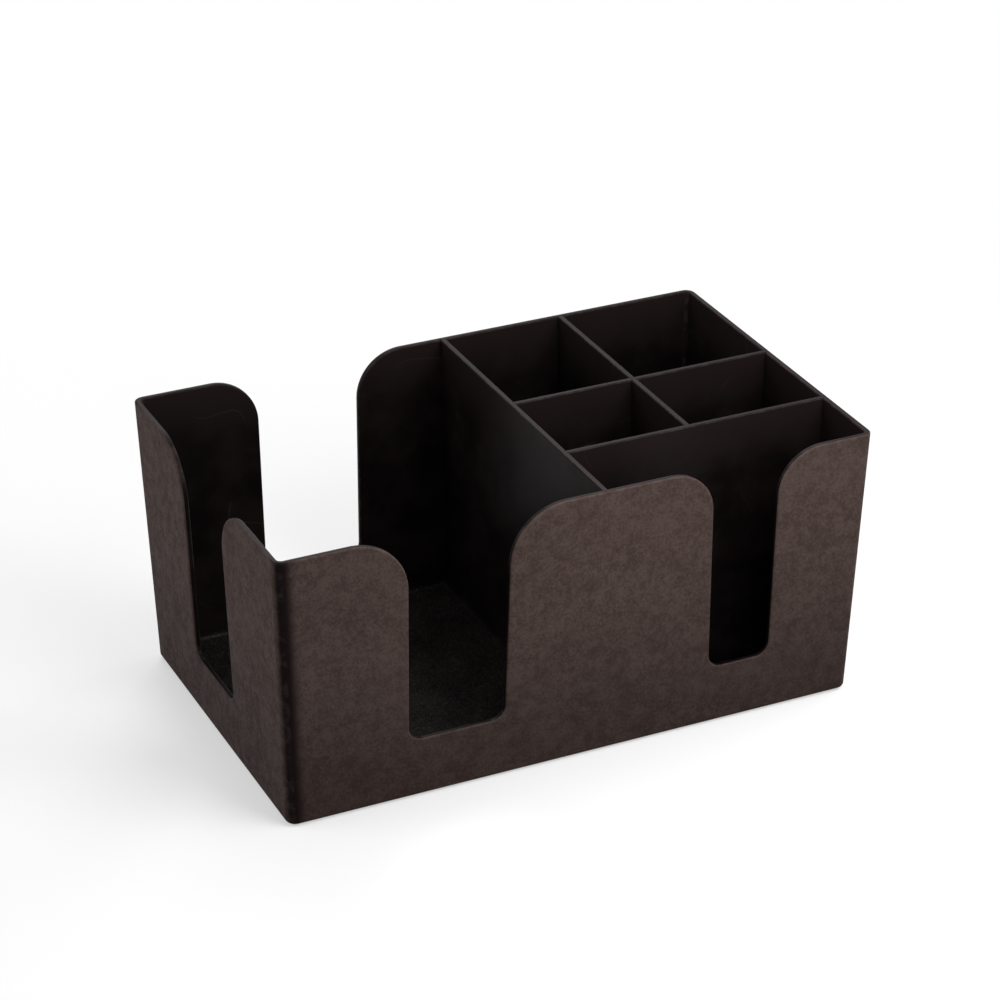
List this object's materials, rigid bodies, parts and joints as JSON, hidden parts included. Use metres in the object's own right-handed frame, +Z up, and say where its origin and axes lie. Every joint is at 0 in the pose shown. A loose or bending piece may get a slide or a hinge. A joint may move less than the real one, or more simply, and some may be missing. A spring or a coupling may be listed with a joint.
{
  "type": "bar caddy",
  "caption": "Open-topped bar caddy with tapered walls, finger slots, a wide napkin bay, a narrow card bay and small bays for stirrers and straws.",
  "frame": {"origin": "on the surface that the caddy stands on, under the middle of its outline", "axes": "+Z up, +X to the right along the length, -Y towards the front with two finger slots; the napkin bay is at -X"},
  "size_m": [0.241, 0.1462, 0.1121],
  "materials": {
    "moulded_shell": "brown-black moulded plastic with a fine pebble grain",
    "partition_plastic": "brown-black moulded plastic, finer grain and a little smoother",
    "foot_rubber": "matte black non-slip rubber"
  },
  "bodies": {
    "root": {"outer_shell": "moulded_shell", "napkin_bay_divider": "partition_plastic", "card_bay_partition": "partition_plastic", "column_partition": "partition_plastic", "left_row_partition": "partition_plastic", "right_row_partition": "partition_plastic", "front_left_foot": "foot_rubber", "front_right_foot": "foot_rubber", "rear_left_foot": "foot_rubber", "rear_right_foot": "foot_rubber"}
  },
  "joints": []
}
